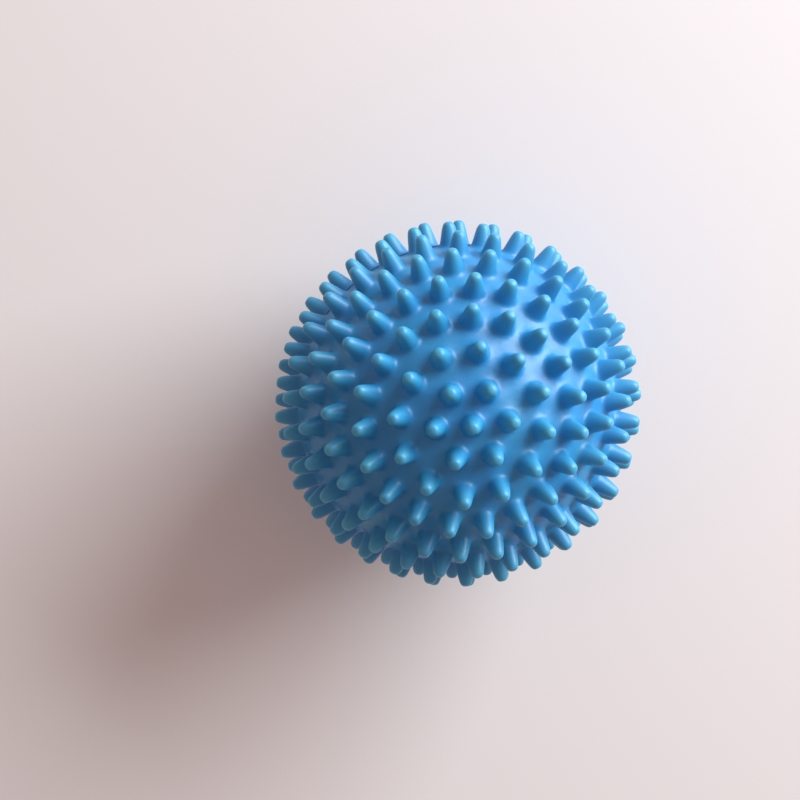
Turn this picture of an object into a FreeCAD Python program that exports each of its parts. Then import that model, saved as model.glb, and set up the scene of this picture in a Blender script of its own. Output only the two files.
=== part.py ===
import FreeCAD, Part
import os
import Sketcher

# A hollow spiky ball that tumbles with laundry and keeps it apart.
# Two moulded half shells, one the mirror of the other, meet on the equator.
# The joint is a lapped rim, closed by a ring of weld bead.
# Spikes stand in rings round the mould axis, Z, and point away from the centre.
# The lower pole has a moulded air hole in place of its spike, closed by a push-in plug.
# The origin is the centre of the ball. All lengths are in millimetres, angles in degrees.

SIZES = {
    "tip_diameter": 65.0,          # over the spikes
    "body_diameter": 56.0,         # over the skin between the spikes
    "wall": 2.5,
    "spike_base_diameter": 3.5,
    "spike_tip_diameter": 2.0,
    "spike_flare": 0.35,           # how far the foot of a spike spreads on the skin
    "flare_sink": 0.15,            # how far that foot reaches under the skin
    "ring_pitch": 12.0,            # angle from one ring of spikes to the next
    "half_twist": 1.5,             # how far the lower half is turned against the upper one
    "rim_lap": 1.6,                # length of the tongue inside the lower half
    "rim_clearance": 0.05,
    "weld_thickness": 0.5,
    "plug_hole_diameter": 3.0,
    "plug_seat_diameter": 5.0,
    "plug_seat_depth": 1.0,
    "plug_clearance": 0.05,        # between the stem and the hole
    "plug_head_clearance": 0.1,    # between the head and its seat
    "plug_barb_gap": 0.15,         # between the barb and the wall's inner face
    "plug_recess": 0.2,            # how far the plug's head lies under the seat's edge
    "plug_barb_diameter": 3.8,
    "plug_barb_length": 1.6,
}

# Number of spikes in each ring from the pole outwards, and the angle of its first spike from +X.
RINGS = [(6, 5.0), (12, 24.0), (19, 12.8), (24, 11.8), (28, 4.0), (30, 7.0), (32, 2.8)]

START_POINT, END_POINT, CENTRE_POINT = 1, 2, 3
HORIZONTAL_AXIS, VERTICAL_AXIS = -1, -2

doc = FreeCAD.newDocument("dryer_ball")
sheet = doc.addObject("Spreadsheet::Sheet", "Sizes")


def fill_sheet():
    """Write each size and each ring's count and phase into a cell with an alias."""
    rows = dict(SIZES)
    for number, (count, phase) in enumerate(RINGS, start=1):
        rows[f"ring_{number}_count"] = count
        rows[f"ring_{number}_phase"] = phase
    for row, (alias, value) in enumerate(rows.items(), start=1):
        sheet.set(f"A{row}", alias)
        sheet.set(f"B{row}", str(value))
        sheet.setAlias(f"B{row}", alias)
    doc.recompute()


def origin_feature(body, role):
    return next(f for f in body.Origin.OriginFeatures if f.Role == role)


def value(sketch, expression):
    return float(sketch.evalExpression(expression))


def lock(sketch, geometry, point, axis, expression):
    """Hold one coordinate of a point at an expression of the sheet's sizes."""
    if expression == "0":
        line = VERTICAL_AXIS if axis == "x" else HORIZONTAL_AXIS
        sketch.addConstraint(Sketcher.Constraint("PointOnObject", geometry, point, line))
        return
    kind = "DistanceX" if axis == "x" else "DistanceY"
    distance = value(sketch, expression)
    index = sketch.addConstraint(
        Sketcher.Constraint(kind, HORIZONTAL_AXIS, START_POINT, geometry, point, distance)
    )
    sketch.setExpression(f"Constraints[{index}]", expression)


def add_sketch(body, name, yaw="0", pitch="0"):
    """Stand a sketch upright on the body's XY plane, then lean it by pitch and turn it by yaw."""
    sketch = body.newObject("Sketcher::SketchObject", name)
    sketch.AttachmentSupport = (origin_feature(body, "XY_Plane"), [""])
    sketch.MapMode = "FlatFace"
    sketch.setExpression(
        "AttachmentOffset",
        f"create(<<placement>>; create(<<vector>>; 0; 0; 0); create(<<rotation>>; {yaw}; {pitch}; 90))",
    )
    return sketch


def draw_profile(sketch, corners, arc_centres):
    """Draw a closed outline. A corner is (x, y, held coordinates) and starts the edge of its number.

    arc_centres maps the number of a round edge to its centre (x, y, held coordinates), and to
    the side it turns: +1 counter-clockwise, -1 clockwise.
    """
    places = [FreeCAD.Vector(value(sketch, x), value(sketch, y), 0) for x, y, _ in corners]
    arcs_reversed = set()
    for number, start in enumerate(places):
        end = places[(number + 1) % len(places)]
        if number not in arc_centres:
            sketch.addGeometry(Part.LineSegment(start, end), False)
            continue
        (x, y, _), turn = arc_centres[number]
        centre = FreeCAD.Vector(value(sketch, x), value(sketch, y), 0)
        first, last = (start, end) if turn > 0 else (end, start)
        if turn < 0:
            arcs_reversed.add(number)
        circle = Part.Circle(centre, FreeCAD.Vector(0, 0, 1), (start - centre).Length)
        arc = Part.ArcOfCircle(circle, circle.parameter(first), circle.parameter(last))
        sketch.addGeometry(arc, False)
    for number in range(len(corners)):
        following = (number + 1) % len(corners)
        leaves = START_POINT if number in arcs_reversed else END_POINT
        enters = END_POINT if following in arcs_reversed else START_POINT
        sketch.addConstraint(Sketcher.Constraint("Coincident", number, leaves, following, enters))
    for number, (x, y, held) in enumerate(corners):
        point = END_POINT if number in arcs_reversed else START_POINT
        for axis, expression in (("x", x), ("y", y)):
            if axis in held:
                lock(sketch, number, point, axis, expression)
    for number, ((x, y, held), _) in arc_centres.items():
        for axis, expression in (("x", x), ("y", y)):
            if axis in held:
                lock(sketch, number, CENTRE_POINT, axis, expression)


def revolve(body, sketch, name, kind="PartDesign::Revolution"):
    """Turn a sketch a full circle about its own upright axis."""
    feature = body.newObject(kind, name)
    feature.Profile = sketch
    feature.ReferenceAxis = (sketch, ["V_Axis"])
    feature.Angle = 360
    return feature


BODY_RADIUS = "Sizes.body_diameter / 2"
INNER_RADIUS = "(Sizes.body_diameter / 2 - Sizes.wall)"
TONGUE_RADIUS = "(Sizes.body_diameter / 2 - Sizes.wall / 2)"
SOCKET_RADIUS = "(Sizes.body_diameter / 2 - Sizes.wall / 2 + Sizes.rim_clearance)"
HALF_WELD = "Sizes.weld_thickness / 2"
RIM_RADIUS = "sqrt(pow(Sizes.body_diameter / 2; 2) - pow(Sizes.weld_thickness / 2; 2))"
LAP_DEPTH = "(Sizes.rim_lap + Sizes.rim_clearance)"
LAP_RADIUS = (
    "sqrt(pow(Sizes.body_diameter / 2 - Sizes.wall; 2)"
    " - pow(Sizes.rim_lap + Sizes.rim_clearance; 2))"
)
AT_CENTRE = ("0", "0", "xy")


def add_wall_upper(body):
    """Half sphere whose inner half of the rim carries on down as a tongue."""
    sketch = add_sketch(body, "upper_wall_outline")
    corners = [
        (RIM_RADIUS, HALF_WELD, "y"),
        ("0", BODY_RADIUS, "xy"),
        ("0", INNER_RADIUS, "xy"),
        (INNER_RADIUS, "0", "y"),
        (INNER_RADIUS, "-Sizes.rim_lap", "xy"),
        (TONGUE_RADIUS, "-Sizes.rim_lap", "xy"),
        (TONGUE_RADIUS, HALF_WELD, "xy"),
    ]
    draw_profile(sketch, corners, {0: (AT_CENTRE, 1), 2: (AT_CENTRE, -1)})
    return revolve(body, sketch, "upper_wall")


def add_wall_lower(body):
    """Half sphere whose rim has a step for the other half's tongue."""
    sketch = add_sketch(body, "lower_wall_outline")
    corners = [
        ("0", f"-{BODY_RADIUS}", "xy"),
        (RIM_RADIUS, f"-{HALF_WELD}", "y"),
        (SOCKET_RADIUS, f"-{HALF_WELD}", "xy"),
        (SOCKET_RADIUS, f"-{LAP_DEPTH}", "xy"),
        (LAP_RADIUS, f"-{LAP_DEPTH}", "y"),
        ("0", f"-{INNER_RADIUS}", "xy"),
    ]
    draw_profile(sketch, corners, {0: (AT_CENTRE, 1), 4: (AT_CENTRE, -1)})
    return revolve(body, sketch, "lower_wall")


def add_spike(body, name, yaw, pitch):
    """One tapered spike with a spread foot and a round end, pointing away from the ball's centre."""
    sketch = add_sketch(body, f"{name}_outline", yaw, pitch)
    base_radius = "Sizes.spike_base_diameter / 2"
    tip_radius = "Sizes.spike_tip_diameter / 2"
    tip_reach = "Sizes.tip_diameter / 2"
    foot_radius = f"({base_radius} + Sizes.spike_flare + Sizes.flare_sink)"
    outline = [
        ("0", f"{BODY_RADIUS} - Sizes.wall / 2", "xy"),
        (foot_radius, f"{BODY_RADIUS} - Sizes.flare_sink", "xy"),
        (base_radius, f"{BODY_RADIUS} + Sizes.spike_flare", "xy"),
        (tip_radius, f"{tip_reach} - {tip_radius}", ""),
        ("0", tip_reach, "xy"),
    ]
    tip_centre = ("0", f"{tip_reach} - {tip_radius}", "x")
    draw_profile(sketch, outline, {3: (tip_centre, 1)})
    side, tip = 2, 3
    index = sketch.addConstraint(Sketcher.Constraint("Radius", tip, value(sketch, tip_radius)))
    sketch.setExpression(f"Constraints[{index}]", tip_radius)
    sketch.addConstraint(Sketcher.Constraint("Tangent", side, tip))
    return revolve(body, sketch, name)


def add_ring(body, number, yaw, pitch):
    """A spike repeated round the mould axis."""
    spike = add_spike(body, f"{body.Name}_spike_{number}", yaw, pitch)
    ring = body.newObject("PartDesign::PolarPattern", f"{body.Name}_ring_{number}")
    ring.Originals = [spike]
    ring.Axis = (origin_feature(body, "Z_Axis"), [""])
    ring.Angle = 360
    ring.setExpression("Occurrences", f"Sizes.ring_{number}_count")
    body.Tip = ring
    return ring


def trim_at_rim(body, sign):
    """Cut off what a wide spike foot would carry past the face of its own half's rim."""
    sketch = add_sketch(body, f"{body.Name}_trim_outline")
    outside = "Sizes.tip_diameter / 2"
    rim = f"{sign}{HALF_WELD}"
    beyond = f"-({sign}Sizes.spike_base_diameter)"
    corners = [
        (SOCKET_RADIUS, rim, "xy"),
        (outside, rim, "xy"),
        (outside, beyond, "xy"),
        (SOCKET_RADIUS, beyond, "xy"),
    ]
    draw_profile(sketch, corners, {})
    body.Tip = revolve(body, sketch, f"{body.Name}_trim", "PartDesign::Groove")


def add_upper_shell():
    body = doc.addObject("PartDesign::Body", "upper_shell")
    body.Label = "upper_shell"
    body.Placement = FreeCAD.Placement()
    add_wall_upper(body)
    body.Tip = add_spike(body, "pole_spike", "0", "0")
    for number in range(1, len(RINGS) + 1):
        add_ring(body, number, f"Sizes.ring_{number}_phase", f"{number} * Sizes.ring_pitch")
    trim_at_rim(body, "+")
    return body


def add_lower_shell():
    """The mirrored half: each ring runs the other way round, from the half's own twist."""
    body = doc.addObject("PartDesign::Body", "lower_shell")
    body.Label = "lower_shell"
    body.Placement = FreeCAD.Placement()
    add_wall_lower(body)
    for number in range(1, len(RINGS) + 1):
        yaw = f"Sizes.half_twist - Sizes.ring_{number}_phase"
        add_ring(body, number, yaw, f"180 - {number} * Sizes.ring_pitch")
    trim_at_rim(body, "-")
    add_air_hole(body)
    return body


def add_air_hole(body):
    """A hole through the lower pole with a round seat for the plug's head."""
    sketch = add_sketch(body, "air_hole_outline")
    hole = "Sizes.plug_hole_diameter / 2"
    seat = "Sizes.plug_seat_diameter / 2"
    below = f"-({BODY_RADIUS} + Sizes.wall)"
    floor = f"-({BODY_RADIUS} - Sizes.plug_seat_depth)"
    above = f"-({INNER_RADIUS} - Sizes.wall)"
    corners = [
        ("0", below, "xy"),
        (seat, below, "xy"),
        (seat, floor, "xy"),
        (hole, floor, "xy"),
        (hole, above, "xy"),
        ("0", above, "xy"),
    ]
    draw_profile(sketch, corners, {})
    doc.recompute()
    volume_before = body.Shape.Volume
    body.Tip = revolve(body, sketch, "air_hole", "PartDesign::Groove")
    doc.recompute()
    if body.Shape.Volume >= volume_before:
        raise RuntimeError("the air hole cuts nothing")


def add_weld_bead():
    """The ring that closes the step between the two rims and stands a little proud of the skin."""
    body = doc.addObject("PartDesign::Body", "weld_bead")
    body.Label = "weld_bead"
    body.Placement = FreeCAD.Placement()
    sketch = add_sketch(body, "weld_bead_outline")
    corners = [
        (SOCKET_RADIUS, f"-{HALF_WELD}", "xy"),
        (RIM_RADIUS, f"-{HALF_WELD}", "xy"),
        (RIM_RADIUS, HALF_WELD, "x"),
        (SOCKET_RADIUS, HALF_WELD, "xy"),
    ]
    draw_profile(sketch, corners, {1: ((RIM_RADIUS, "0", "xy"), 1)})
    revolve(body, sketch, "bead")
    return body


def add_air_plug():
    """Soft push-in plug: a flat head, a stem and a barb that holds behind the wall."""
    body = doc.addObject("PartDesign::Body", "air_plug")
    body.Label = "air_plug"
    body.Placement = FreeCAD.Placement()
    sketch = add_sketch(body, "air_plug_outline")
    head = "(Sizes.plug_seat_diameter / 2 - Sizes.plug_head_clearance)"
    stem = "(Sizes.plug_hole_diameter / 2 - Sizes.plug_clearance)"
    barb = "Sizes.plug_barb_diameter / 2"
    outside = f"-({BODY_RADIUS} - Sizes.plug_recess)"
    seat = f"-({BODY_RADIUS} - Sizes.plug_seat_depth)"
    behind_wall = f"-({INNER_RADIUS} - Sizes.plug_barb_gap)"
    point = f"-({INNER_RADIUS} - Sizes.plug_barb_gap - Sizes.plug_barb_length)"
    corners = [
        ("0", outside, "xy"),
        (head, outside, "xy"),
        (head, seat, "xy"),
        (stem, seat, "xy"),
        (stem, behind_wall, "xy"),
        (barb, behind_wall, "xy"),
        (f"{stem} / 2", point, "xy"),
        ("0", point, "xy"),
    ]
    draw_profile(sketch, corners, {})
    revolve(body, sketch, "plug")
    return body


def check_document():
    for item in doc.Objects:
        if "Invalid" in item.State or "Error" in item.State:
            raise RuntimeError(f"{item.Name} failed: {item.State}")


def export(bodies):
    os.makedirs("parts", exist_ok=True)
    for body in bodies:
        shape = body.Shape
        if shape.isNull() or not shape.isValid():
            raise RuntimeError(f"{body.Label} has no valid shape")
        print(body.Label, "solids", len(shape.Solids), "volume", round(shape.Volume, 1))
        shape.exportStep(f"parts/{body.Label}.step")


fill_sheet()
pieces = [add_upper_shell(), add_lower_shell(), add_weld_bead(), add_air_plug()]
doc.recompute()
check_document()
export(pieces)
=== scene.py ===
# %% [markdown]
# # A dryer ball
#
# This ball tumbles with the laundry and keeps it apart. It is a hollow ball of soft vinyl,
# moulded as two half shells, with rings of blunt spikes all over. A weld on the equator
# joins the halves, and a soft plug closes the air hole at the lower pole.
#
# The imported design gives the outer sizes, so the lesson starts by loading it. Nothing
# here moves or resizes it: each piece below is a finer copy of one part of the design.

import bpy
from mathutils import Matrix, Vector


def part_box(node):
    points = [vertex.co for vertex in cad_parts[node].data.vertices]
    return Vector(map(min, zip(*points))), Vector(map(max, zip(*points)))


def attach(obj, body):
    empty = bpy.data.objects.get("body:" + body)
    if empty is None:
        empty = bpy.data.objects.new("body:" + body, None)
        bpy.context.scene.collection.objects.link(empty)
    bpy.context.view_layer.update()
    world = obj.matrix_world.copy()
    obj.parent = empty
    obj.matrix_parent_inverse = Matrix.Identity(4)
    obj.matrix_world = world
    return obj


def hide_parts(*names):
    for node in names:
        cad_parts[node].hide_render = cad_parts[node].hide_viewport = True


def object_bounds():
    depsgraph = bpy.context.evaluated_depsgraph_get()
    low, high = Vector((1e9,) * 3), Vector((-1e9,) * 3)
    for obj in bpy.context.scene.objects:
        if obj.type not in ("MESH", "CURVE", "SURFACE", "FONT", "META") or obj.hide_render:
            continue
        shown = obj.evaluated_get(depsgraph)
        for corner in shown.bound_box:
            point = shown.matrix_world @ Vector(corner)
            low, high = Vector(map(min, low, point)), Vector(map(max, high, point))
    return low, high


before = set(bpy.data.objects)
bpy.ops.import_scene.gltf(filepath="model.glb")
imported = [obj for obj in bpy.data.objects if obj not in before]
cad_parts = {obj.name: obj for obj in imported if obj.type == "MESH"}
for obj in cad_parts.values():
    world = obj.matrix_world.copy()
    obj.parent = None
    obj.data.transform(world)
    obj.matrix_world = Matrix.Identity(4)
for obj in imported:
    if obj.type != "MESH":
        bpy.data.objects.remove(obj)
cad_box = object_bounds()
print("parts of the design:", sorted(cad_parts))
print("box in millimetres:", [round(1000 * (b - a), 2) for a, b in zip(*cad_box)])

# %% [markdown]
# A script that is read later needs its imports in one place. bmesh holds the modelling
# operators, and mathutils the vectors and matrices that place what they make.

# %% Imports
import math
import random

import bmesh
import bpy
from mathutils import Matrix, Quaternion, Vector

MM = 0.001
print("Blender", bpy.app.version_string, "works in metres, so a millimetre is", MM)

# %% [markdown]
# Sizes could be typed in again, but then the design and the picture could drift apart.
# So they are measured on the design's own boxes wherever a box shows them: the pole spike
# gives the reach of the spikes, the lower end of the upper shell gives the length of the
# joint's tongue, the weld gives the skin's radius, and the plug gives its own head.

# %% Sizes measured on the design
weld_low, weld_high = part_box("weld_bead")
plug_low, plug_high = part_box("air_plug")
shell_low, shell_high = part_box("upper_shell")
tip_reach = shell_high.z
rim_lap = -shell_low.z
half_weld = weld_high.z
skin_radius = (weld_high.x - weld_low.x) / 2 - half_weld
plug_head_radius = (plug_high.x - plug_low.x) / 2
spike_length = tip_reach - skin_radius
print(f"skin radius {skin_radius / MM:.2f} mm, spikes {spike_length / MM:.2f} mm long")

# %% [markdown]
# The spikes stand in rings round the mould's axis, Z, twelve degrees apart. Each ring has
# a number of spikes and an angle for the first of them. The two halves came off the same
# pattern, so the lower half is the upper one turned over. It was welded on without being
# lined up, which leaves a small twist between the spikes on the two sides of the weld.

# %% Rings of spikes
RING_PITCH = math.radians(12)
RINGS = [(6, 5.0), (12, 24.0), (19, 12.8), (24, 11.8), (28, 4.0), (30, 7.0), (32, 2.8)]
HALF_TWIST = 1.5


def direction(polar, azimuth):
    """The unit vector at an angle from +Z and an angle round Z."""
    flat = math.sin(polar)
    return Vector((flat * math.cos(azimuth), flat * math.sin(azimuth), math.cos(polar)))


def ring_directions(upper):
    """Where each spike of one half points, ring by ring from the pole."""
    found = []
    for number, (count, phase) in enumerate(RINGS, start=1):
        polar = number * RING_PITCH if upper else math.pi - number * RING_PITCH
        first = math.radians(phase if upper else HALF_TWIST - phase)
        for step in range(count):
            found.append(direction(polar, first + 2 * math.pi * step / count))
    return found


upper_directions = [Vector((0, 0, 1))] + ring_directions(upper=True)
lower_directions = ring_directions(upper=False)
print("spikes:", len(upper_directions), "above the weld,", len(lower_directions), "below")

# %% [markdown]
# A spike could be a cone joined on with a boolean, but that leaves a hard crease, and the
# real skin runs up into each spike in one soft curve. So each half starts as a set of
# discs, one at the foot of every spike, all lying on the ball. A convex hull stretched
# over them is the skin between the spikes, and each disc then grows into its spike.

# %% Discs and the skin between them
SPIKE_SIDES = 12
FOOT_RADIUS = 2.2 * MM
RIM_SIDES = 144


def facing(axis):
    """A turn that takes +Z to an axis."""
    return axis.to_track_quat("Z", "Y").to_matrix().to_4x4()


def add_disc(bm, axis, radius, sides):
    """A flat disc whose corners lie on the skin's sphere. Returns its face."""
    height = math.sqrt(skin_radius**2 - radius**2)
    place = Matrix.Translation(axis * height) @ facing(axis)
    made = bmesh.ops.create_circle(bm, cap_ends=True, segments=sides, radius=radius, matrix=place)
    return made["verts"][0].link_faces[0]


def add_rim(bm, height):
    """A ring of corners on the sphere at a height above or below the weld's plane."""
    radius = math.sqrt(skin_radius**2 - height**2)
    place = Matrix.Translation((0, 0, height))
    return bmesh.ops.create_circle(bm, segments=RIM_SIDES, radius=radius, matrix=place)["verts"]


def stretch_skin(bm, rim):
    """Hull the discs and the rim, then open the hull's flat side along the rim."""
    bmesh.ops.convex_hull(bm, input=bm.verts[:] + bm.faces[:], use_existing_faces=True)
    on_rim = set(rim)
    lids = [face for face in bm.faces if all(vert in on_rim for vert in face.verts)]
    bmesh.ops.delete(bm, geom=lids, context="FACES_ONLY")
    loose = [edge for edge in bm.edges if not edge.link_faces]
    bmesh.ops.delete(bm, geom=loose, context="EDGES")


print(f"each spike's foot is a disc {2 * FOOT_RADIUS / MM:.1f} mm wide with {SPIKE_SIDES} corners")

# %% [markdown]
# The spikes of a soft moulding are alike but not equal: each leans a little and differs
# slightly in length. A seeded random source gives the same ball every time.
#
# A spike is the disc's face extruded five times. Each row says how far up it lies, as a
# share of the length, and how wide it is. The first row is close to the foot, which keeps
# the fillet tight, and the last ones close in for the blunt round tip. A subdivision
# surface pulls a twelve-sided ring in by a few percent, which the widths allow for.

# %% Spikes
BASE_RADIUS = 1.75 * MM
ROUNDING = 1 / math.cos(math.pi / SPIKE_SIDES)
SPIKE_ROWS = [
    (0.09, BASE_RADIUS + 0.05 * MM),
    (0.40, 1.52 * MM),
    (0.74, 1.22 * MM),
    (0.92, 0.92 * MM),
    (0.985, 0.45 * MM),
]
LEAN = math.radians(2.2)
SHORTENING = 0.02


def leaning(axis, dice):
    """The axis tipped by a small random angle."""
    sideways = axis.orthogonal().normalized()
    sideways.rotate(Quaternion(axis, dice.uniform(0, 2 * math.pi)))
    tipped = axis.copy()
    tipped.rotate(Quaternion(sideways, dice.gauss(0, LEAN)))
    return tipped


def grow_spike(bm, face, axis, reach_layer, dice):
    """Extrude a foot disc into a spike and write how far up each corner is."""
    foot = axis * skin_radius
    lean = leaning(axis, dice)
    length = spike_length * (1 - abs(dice.gauss(0, SHORTENING)))
    for share, radius in SPIKE_ROWS:
        face = bmesh.ops.extrude_discrete_faces(bm, faces=[face])["faces"][0]
        old_centre = face.calc_center_median()
        new_centre = foot + lean * (share * length)
        for vert in face.verts:
            outward = vert.co - old_centre
            outward -= lean * outward.dot(lean)
            vert.co = new_centre + outward.normalized() * radius * ROUNDING
            vert[reach_layer] = share


print(f"each spike has {len(SPIKE_ROWS)} rows, from {2 * SPIKE_ROWS[0][1] / MM:.1f} mm wide at its foot")

# %% [markdown]
# The wall is a real thickness, so each half is a closed solid: from the rim the surface
# turns inwards, along the stepped joint, and then runs up the inside of the ball. Those
# rings are extruded from the rim one after the other. None of it shows on a closed ball,
# but a closed shell has no wrong side and can be weighed, printed or cut open. No box
# shows the wall's thickness, so it is typed in as the design has it.

# %% The inside of a half
WALL = 2.5 * MM
INNER_RINGS = 7
inner_radius = skin_radius - WALL
middle_radius = skin_radius - WALL / 2


def carry_loop(bm, edges, radius, height):
    """Extrude a ring of edges to another radius and height, and return the new ring."""
    made = bmesh.ops.extrude_edge_only(bm, edges=edges)["geom"]
    verts = [item for item in made if isinstance(item, bmesh.types.BMVert)]
    for vert in verts:
        flat = Vector((vert.co.x, vert.co.y)).normalized() * radius
        vert.co = (flat.x, flat.y, height)
    return [item for item in made if isinstance(item, bmesh.types.BMEdge)]


def line_inside(bm, rim, profile, sign, pole_radius):
    """Carry the rim along the joint's profile, then up the inner sphere to the pole."""
    on_rim = set(rim)
    loop = [edge for edge in bm.edges if edge.is_boundary and set(edge.verts) <= on_rim]
    for radius, height in profile:
        loop = carry_loop(bm, loop, radius, height)
    last = math.acos(pole_radius / inner_radius)
    for step in range(1, INNER_RINGS + 1):
        latitude = last * step / INNER_RINGS
        ring_radius = inner_radius * math.cos(latitude)
        loop = carry_loop(bm, loop, ring_radius, sign * inner_radius * math.sin(latitude))
    return loop


print(f"the wall runs from {inner_radius / MM:.1f} to {skin_radius / MM:.1f} mm from the centre")

# %% [markdown]
# Every piece ends in the same way: corners that coincide are merged, the faces turn
# outwards, and the surface is shaded smooth. A subdivision surface then rounds the coarse
# mesh, which keeps the mesh small enough to read. One level is enough at this size.

# %% Finishing a piece
MERGE_DISTANCE = 0.001 * MM
SUBDIVISIONS = 1


def finish_piece(bm, name):
    """Turn a bmesh into a smooth object in the scene."""
    bmesh.ops.remove_doubles(bm, verts=bm.verts, dist=MERGE_DISTANCE)
    bmesh.ops.recalc_face_normals(bm, faces=bm.faces)
    for face in bm.faces:
        face.smooth = True
    mesh = bpy.data.meshes.new(name)
    bm.to_mesh(mesh)
    bm.free()
    piece = bpy.data.objects.new(name, mesh)
    bpy.context.collection.objects.link(piece)
    rounder = piece.modifiers.new("rounder", "SUBSURF")
    rounder.levels = SUBDIVISIONS
    rounder.render_levels = SUBDIVISIONS
    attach(piece, "root")
    print(f"{name}: {len(mesh.vertices)} corners, {len(mesh.polygons)} faces")
    return piece


print("corners closer than", MERGE_DISTANCE / MM, "mm are merged")

# %% [markdown]
# Now the upper half. Its rim carries a tongue that reaches down inside the lower half, so
# the profile steps in to the middle of the wall, down, in again and back up.

# %% Upper half
UPPER_SEED = 3


def grow_all(bm, discs, directions, seed):
    """Turn every foot disc into a spike."""
    reach_layer = bm.verts.layers.float.new("reach")
    dice = random.Random(seed)
    for face, axis in zip(discs, directions):
        grow_spike(bm, face, axis, reach_layer, dice)


def make_upper_half():
    """The half with a spike at its pole and the tongue on its rim."""
    bm = bmesh.new()
    discs = [add_disc(bm, axis, FOOT_RADIUS, SPIKE_SIDES) for axis in upper_directions]
    rim = add_rim(bm, half_weld)
    stretch_skin(bm, rim)
    profile = [
        (middle_radius, half_weld),
        (middle_radius, -rim_lap),
        (inner_radius, -rim_lap),
        (inner_radius, 0),
    ]
    loop = line_inside(bm, rim, profile, 1, WALL)
    bmesh.ops.contextual_create(bm, geom=loop)
    grow_all(bm, discs, upper_directions, UPPER_SEED)
    piece = finish_piece(bm, "upper_half")
    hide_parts("upper_shell")
    return piece


upper_half = make_upper_half()

# %% [markdown]
# The lower half is the same but for two things: its rim has the step that the tongue
# fits, and at its pole there is an air hole where the upper half has a spike. The hole is
# one more disc in the hull. It is extruded inwards in steps, first the round seat for the
# plug's head and then the bore, which is bridged to the inner wall. Each corner of the
# seat has two steps a short way apart, so that subdivision rounds it only a little.

# %% Lower half
LOWER_SEED = 4
HEAD_CLEARANCE = 0.1 * MM
SEAT_RADIUS = plug_head_radius + HEAD_CLEARANCE
SEAT_DEPTH = 1.0 * MM
HOLE_RADIUS = 1.5 * MM
SEAT_SIDES = 24
SEAT_EDGE = 0.12 * MM
seat_floor = -skin_radius + SEAT_DEPTH


def sink_hole(bm, face):
    """Extrude the pole's disc inwards to the inner wall and return the open edge there."""
    inner_pole = -math.sqrt(inner_radius**2 - HOLE_RADIUS**2)
    steps = [
        (SEAT_RADIUS, -skin_radius + 2 * SEAT_EDGE),
        (SEAT_RADIUS, seat_floor - SEAT_EDGE),
        (SEAT_RADIUS - SEAT_EDGE, seat_floor),
        (HOLE_RADIUS + SEAT_EDGE, seat_floor),
        (HOLE_RADIUS, seat_floor + SEAT_EDGE),
        (HOLE_RADIUS, inner_pole),
    ]
    for radius, height in steps:
        face = bmesh.ops.extrude_discrete_faces(bm, faces=[face])["faces"][0]
        for vert in face.verts:
            flat = Vector((vert.co.x, vert.co.y)).normalized() * radius
            vert.co = (flat.x, flat.y, height)
    edges = face.edges[:]
    bmesh.ops.delete(bm, geom=[face], context="FACES_ONLY")
    return edges


def make_lower_half():
    """The half with the air hole at its pole and the step on its rim."""
    bm = bmesh.new()
    discs = [add_disc(bm, axis, FOOT_RADIUS, SPIKE_SIDES) for axis in lower_directions]
    seat = add_disc(bm, Vector((0, 0, -1)), SEAT_RADIUS + SEAT_EDGE, SEAT_SIDES)
    rim = add_rim(bm, -half_weld)
    stretch_skin(bm, rim)
    profile = [(middle_radius, -half_weld), (middle_radius, -rim_lap), (inner_radius, -rim_lap)]
    loop = line_inside(bm, rim, profile, -1, HOLE_RADIUS + WALL)
    hole_edges = sink_hole(bm, seat)
    bmesh.ops.bridge_loops(bm, edges=loop + hole_edges)
    grow_all(bm, discs, lower_directions, LOWER_SEED)
    piece = finish_piece(bm, "lower_half")
    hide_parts("lower_shell")
    return piece


lower_half = make_lower_half()

# %% [markdown]
# Where the two rims melted together, a thin bead of vinyl was squeezed out. It is a
# circle spun round Z. A perfect ring would look machined, so each corner is drawn in a
# little, by a slow wave made of three sines. The wave only ever makes the bead thinner,
# so that the bead stays inside the design's own.

# %% Weld bead
BEAD_STEPS = 180
BEAD_SIDES = 8
BEAD_WAVES = [(7, 0.4), (19, 1.7), (43, 2.9)]
BEAD_FULLNESS = 0.95
BEAD_SWELL = 0.09


def spin_round(bm, geom, steps):
    """Spin an outline a whole turn round Z."""
    bmesh.ops.spin(
        bm,
        geom=geom,
        cent=(0, 0, 0),
        axis=(0, 0, 1),
        angle=2 * math.pi,
        steps=steps,
        use_merge=True,
    )


def make_weld():
    """The ring of re-melted vinyl on the equator."""
    bm = bmesh.new()
    place = Matrix.Translation((skin_radius, 0, 0)) @ Matrix.Rotation(math.pi / 2, 4, "X")
    section = bmesh.ops.create_circle(bm, segments=BEAD_SIDES, radius=half_weld, matrix=place)
    edges = list({edge for vert in section["verts"] for edge in vert.link_edges})
    spin_round(bm, section["verts"] + edges, BEAD_STEPS)
    for vert in bm.verts:
        turn = math.atan2(vert.co.y, vert.co.x)
        middle = Vector((math.cos(turn), math.sin(turn), 0)) * skin_radius
        waves = [math.sin(count * turn + start) for count, start in BEAD_WAVES]
        thinning = (1 - sum(waves) / len(waves)) / 2
        vert.co = middle + (vert.co - middle) * (BEAD_FULLNESS - BEAD_SWELL * thinning)
    piece = finish_piece(bm, "weld_line")
    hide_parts("weld_bead")
    return piece


weld_line = make_weld()

# %% [markdown]
# The plug is a turned shape, so its outline is drawn once and spun. The outline runs from
# the dimple in the head, over the rounded edge, up the stem and round the barb that holds
# it behind the wall. The dimple's points are radii and depths, and the edge's points say
# how far in from the head's side and how far up from its face they lie.

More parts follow.
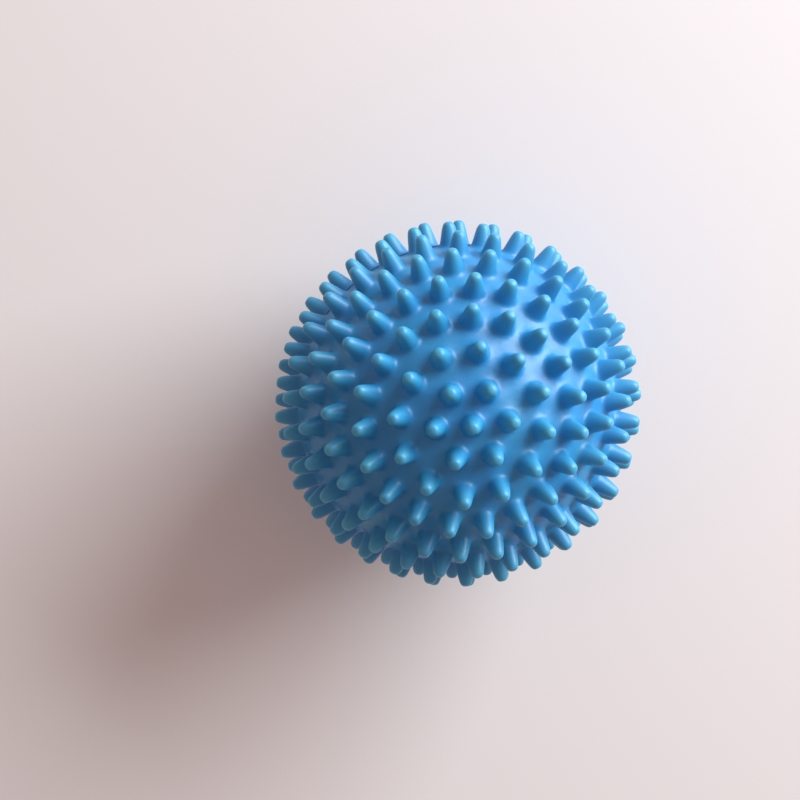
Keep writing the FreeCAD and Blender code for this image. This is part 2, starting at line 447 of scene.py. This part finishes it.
# %% Plug
PLUG_STEPS = 32
STEM_CLEARANCE = 0.05 * MM
BARB_LENGTH = 1.6 * MM
BARB_RADIUS = 1.9 * MM
DIMPLE = [(0, 0.25 * MM), (0.5 * MM, 0.22 * MM), (0.8 * MM, 0.03 * MM), (1.2 * MM, 0)]
HEAD_EDGE = [(0.35 * MM, 0), (0.06 * MM, 0.1 * MM), (0, 0.35 * MM)]


def make_plug():
    """The push-in plug that closes the air hole."""
    head = plug_low.z
    stem = HOLE_RADIUS - STEM_CLEARANCE
    behind = plug_high.z - BARB_LENGTH
    outline = [(radius, head + depth) for radius, depth in DIMPLE]
    outline += [(plug_head_radius - inset, head + rise) for inset, rise in HEAD_EDGE]
    outline += [
        (plug_head_radius, seat_floor),
        (stem, seat_floor),
        (stem, behind),
        (BARB_RADIUS, behind),
        (stem / 2, plug_high.z),
        (0, plug_high.z),
    ]
    bm = bmesh.new()
    verts = [bm.verts.new((radius, 0, height)) for radius, height in outline]
    edges = [bm.edges.new(pair) for pair in zip(verts, verts[1:])]
    spin_round(bm, verts + edges, PLUG_STEPS)
    piece = finish_piece(bm, "air_hole_plug")
    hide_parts("air_plug")
    return piece


air_hole_plug = make_plug()

# %% [markdown]
# Soft vinyl is a dyed plastic with a low gloss. Light goes a little way into it, blue
# light the furthest, so thin places such as the tips glow. The colour could be one flat
# blue, but a moulding is never that even. So it is mixed from two blues by a slow noise.
# The paler one is also favoured towards the tips through the "reach" value that each
# corner of a spike carries: that is a painted glow, added on top of the shader's own
# scattering. Both noises lie in Object coordinates, so they stay on the piece.

# %% Dyed colour and painted tip glow
MOTTLE_SCALE = 90
MOTTLE_DETAIL = 3
MOTTLE_RANGE = (0.3, 0.7)
MOTTLE_SHARE = 0.35
DEEP_BLUE = (0.009, 0.218, 0.53)
PALE_BLUE = (0.055, 0.37, 0.56)


def add_noise(material, scale, detail):
    """A noise texture in the piece's own coordinates."""
    nodes = material.node_tree.nodes
    place = nodes.new("ShaderNodeTexCoord")
    noise = nodes.new("ShaderNodeTexNoise")
    noise.inputs["Scale"].default_value = scale
    noise.inputs["Detail"].default_value = detail
    material.node_tree.links.new(place.outputs["Object"], noise.inputs["Vector"])
    return noise


def dye_and_paint_glow(material, shader, painted_glow_share):
    """Mix the two blues by a slow noise, and paint a glow on the tips by how far up a spike the surface
    is.
    """
    nodes = material.node_tree.nodes
    link = material.node_tree.links.new
    mottle = add_noise(material, MOTTLE_SCALE, MOTTLE_DETAIL)
    spread = nodes.new("ShaderNodeMapRange")
    spread.inputs["From Min"].default_value = MOTTLE_RANGE[0]
    spread.inputs["From Max"].default_value = MOTTLE_RANGE[1]
    spread.inputs["To Max"].default_value = MOTTLE_SHARE
    link(mottle.outputs["Fac"], spread.inputs["Value"])

    # Painted glow: the paler blue grows towards the spike tips, standing in for light shining through
    # the thin vinyl.
    reach = nodes.new("ShaderNodeAttribute")
    reach.attribute_name = "reach"
    painted_glow_mix = nodes.new("ShaderNodeMath")
    painted_glow_mix.operation = "MULTIPLY_ADD"
    painted_glow_mix.inputs[1].default_value = painted_glow_share
    link(reach.outputs["Fac"], painted_glow_mix.inputs[0])
    link(spread.outputs["Result"], painted_glow_mix.inputs[2])

    colour = nodes.new("ShaderNodeMix")
    colour.data_type = "RGBA"
    colour.inputs["A"].default_value = (*DEEP_BLUE, 1)
    colour.inputs["B"].default_value = (*PALE_BLUE, 1)
    link(painted_glow_mix.outputs["Value"], colour.inputs["Factor"])
    link(colour.outputs["Result"], shader.inputs["Base Color"])


print("blues:", DEEP_BLUE, "to", PALE_BLUE)

# %% [markdown]
# The mould isn't polished, so the skin has a fine grain: one noise changes the roughness
# a little and gives a bump a few hundredths of a millimetre deep. Modelling that grain
# would take millions of faces for something that only a highlight shows.

# %% Moulded skin
GRAIN_SCALE = 1400
GRAIN_DETAIL = 4
GRAIN_DEPTH = 0.03 * MM
GRAIN_STRENGTH = 0.35
GLOSS_SPREAD = 0.05


def roughen(material, shader, roughness):
    """A fine grain in the roughness and in the surface."""
    nodes = material.node_tree.nodes
    link = material.node_tree.links.new
    grain = add_noise(material, GRAIN_SCALE, GRAIN_DETAIL)
    gloss = nodes.new("ShaderNodeMapRange")
    gloss.inputs["To Min"].default_value = roughness - GLOSS_SPREAD
    gloss.inputs["To Max"].default_value = roughness + GLOSS_SPREAD
    link(grain.outputs["Fac"], gloss.inputs["Value"])
    link(gloss.outputs["Result"], shader.inputs["Roughness"])
    bump = nodes.new("ShaderNodeBump")
    bump.inputs["Strength"].default_value = GRAIN_STRENGTH
    bump.inputs["Distance"].default_value = GRAIN_DEPTH
    link(grain.outputs["Fac"], bump.inputs["Height"])
    link(bump.outputs["Normal"], shader.inputs["Normal"])


print("grain depth in millimetres:", GRAIN_DEPTH / MM)

# %% [markdown]
# The three vinyls differ in gloss only: the weld has melted and set again, which leaves
# it glossier than the moulded skin, and the plug is a little duller. Only the shells have
# spikes, so only they get the painted glow that pales their tips.

# %% Vinyl
VINYL_IOR = 1.52
VINYL_SPECULAR = 0.6
SCATTER_SHARE = 0.15
SCATTER_RADIUS = (0.25, 0.7, 1.0)
SCATTER_DISTANCE = 1.2 * MM


def vinyl(name, roughness, painted_glow_share):
    """Dyed soft vinyl: mottled colour, a painted glow on the tips, fine moulded skin."""
    material = bpy.data.materials.new(name)
    material.use_nodes = True
    shader = material.node_tree.nodes["Principled BSDF"]
    shader.inputs["IOR"].default_value = VINYL_IOR
    shader.inputs["Specular IOR Level"].default_value = VINYL_SPECULAR
    shader.inputs["Subsurface Weight"].default_value = SCATTER_SHARE
    shader.inputs["Subsurface Radius"].default_value = SCATTER_RADIUS
    shader.inputs["Subsurface Scale"].default_value = SCATTER_DISTANCE
    dye_and_paint_glow(material, shader, painted_glow_share)
    roughen(material, shader, roughness)
    return material


# The shells' tips get a painted glow; the weld and the plug get none.
shell_vinyl = vinyl("shell_vinyl", roughness=0.45, painted_glow_share=0.6)
weld_vinyl = vinyl("weld_vinyl", roughness=0.3, painted_glow_share=0)
plug_vinyl = vinyl("plug_vinyl", roughness=0.48, painted_glow_share=0)
for piece, material in (
    (upper_half, shell_vinyl),
    (lower_half, shell_vinyl),
    (weld_line, weld_vinyl),
    (air_hole_plug, plug_vinyl),
):
    piece.data.materials.append(material)
print("materials:", [material.name for material in bpy.data.materials])

# %% [markdown]
# The ball stands on a plain pale table. It is light enough to rest on the tips of the six
# spikes round the plug, which are the lowest points of the design.

# %% Table
TABLE_SIDE = 6
TABLE_COLOUR = (0.8, 0.77, 0.765)
TABLE_ROUGHNESS = 0.6


def make_table():
    """A flat pale top at the height of the lowest spike tips."""
    bm = bmesh.new()
    place = Matrix.Translation((0, 0, cad_box[0].z))
    bmesh.ops.create_grid(bm, x_segments=1, y_segments=1, size=TABLE_SIDE / 2, matrix=place)
    mesh = bpy.data.meshes.new("table_top")
    bm.to_mesh(mesh)
    bm.free()
    table = bpy.data.objects.new("table_top", mesh)
    bpy.context.collection.objects.link(table)
    material = bpy.data.materials.new("pale_table")
    material.use_nodes = True
    shader = material.node_tree.nodes["Principled BSDF"]
    shader.inputs["Base Color"].default_value = (*TABLE_COLOUR, 1)
    shader.inputs["Roughness"].default_value = TABLE_ROUGHNESS
    mesh.materials.append(material)


make_table()
print(f"table top {TABLE_SIDE} m wide, {cad_box[0].z / MM:.2f} mm from the ball's centre")

# %% [markdown]
# The camera looks down almost along the mould's axis, nine degrees off it, from ten
# ball radii away. The ball lies a little right of the middle of the picture, so the
# camera is turned past it rather than moved.

# %% Camera
SENSOR_WIDTH = 36
FOCAL_LENGTH = 82.65
NEAREST_SEEN = 0.01
LOOK_PAST = math.radians(1.787)
LOOK_OVER = math.radians(0.109)
CAMERA_RADII = 10
toward_camera = Vector((-0.0834, 0.1243, 0.9887)).normalized()
picture_right = Vector((0.9964, -0.0048, 0.0847))
picture_right -= toward_camera * picture_right.dot(toward_camera)
picture_right.normalize()
picture_up = toward_camera.cross(picture_right)

camera_data = bpy.data.cameras.new("camera")
camera_data.sensor_width = SENSOR_WIDTH
camera_data.lens = FOCAL_LENGTH
camera_data.clip_start = NEAREST_SEEN
camera = bpy.data.objects.new("camera", camera_data)
bpy.context.collection.objects.link(camera)
camera.location = toward_camera * tip_reach * CAMERA_RADII
axes = Matrix((picture_right, picture_up, toward_camera)).transposed()
turned_left = Matrix.Rotation(LOOK_PAST, 3, "Y")
turned_up = Matrix.Rotation(LOOK_OVER, 3, "X")
camera.rotation_euler = (axes @ turned_left @ turned_up).to_euler()
bpy.context.scene.camera = camera
print(f"camera {camera.location.length:.3f} m from the ball's centre")

# %% [markdown]
# One wide window lights the ball from the upper right, low enough to leave the lower left
# in its own shade. The pale room fills that shade softly.

# %% Light
WINDOW_HEIGHT = math.radians(24)
WINDOW_SIDE = math.radians(36)
WINDOW_DISTANCE = 0.8
WINDOW_SIZE = (0.7, 0.5)
WINDOW_POWER = 12.6
WINDOW_COLOUR = (0.89, 0.95, 0.99)
ROOM_COLOUR = (1.0, 0.74, 0.69)
ROOM_STRENGTH = 0.42


def add_window():
    """An area light that faces the ball from the upper right of the picture."""
    level = math.cos(WINDOW_HEIGHT)
    toward_window = (
        picture_right * level * math.cos(WINDOW_SIDE)
        + picture_up * level * math.sin(WINDOW_SIDE)
        + toward_camera * math.sin(WINDOW_HEIGHT)
    )
    data = bpy.data.lights.new("window", "AREA")
    data.shape = "RECTANGLE"
    data.size, data.size_y = WINDOW_SIZE
    data.energy = WINDOW_POWER
    data.color = WINDOW_COLOUR
    window = bpy.data.objects.new("window", data)
    bpy.context.collection.objects.link(window)
    window.location = toward_window * WINDOW_DISTANCE
    window.rotation_euler = toward_window.to_track_quat("Z", "Y").to_euler()


def add_room():
    """An even, warm light from all round."""
    world = bpy.data.worlds.new("room")
    world.use_nodes = True
    background = world.node_tree.nodes["Background"]
    background.inputs["Color"].default_value = (*ROOM_COLOUR, 1)
    background.inputs["Strength"].default_value = ROOM_STRENGTH
    bpy.context.scene.world = world


add_window()
add_room()
bpy.context.scene.view_settings.view_transform = "Standard"
print(f"window of {WINDOW_SIZE[0]} by {WINDOW_SIZE[1]} m, {WINDOW_DISTANCE} m away, {WINDOW_POWER} W")
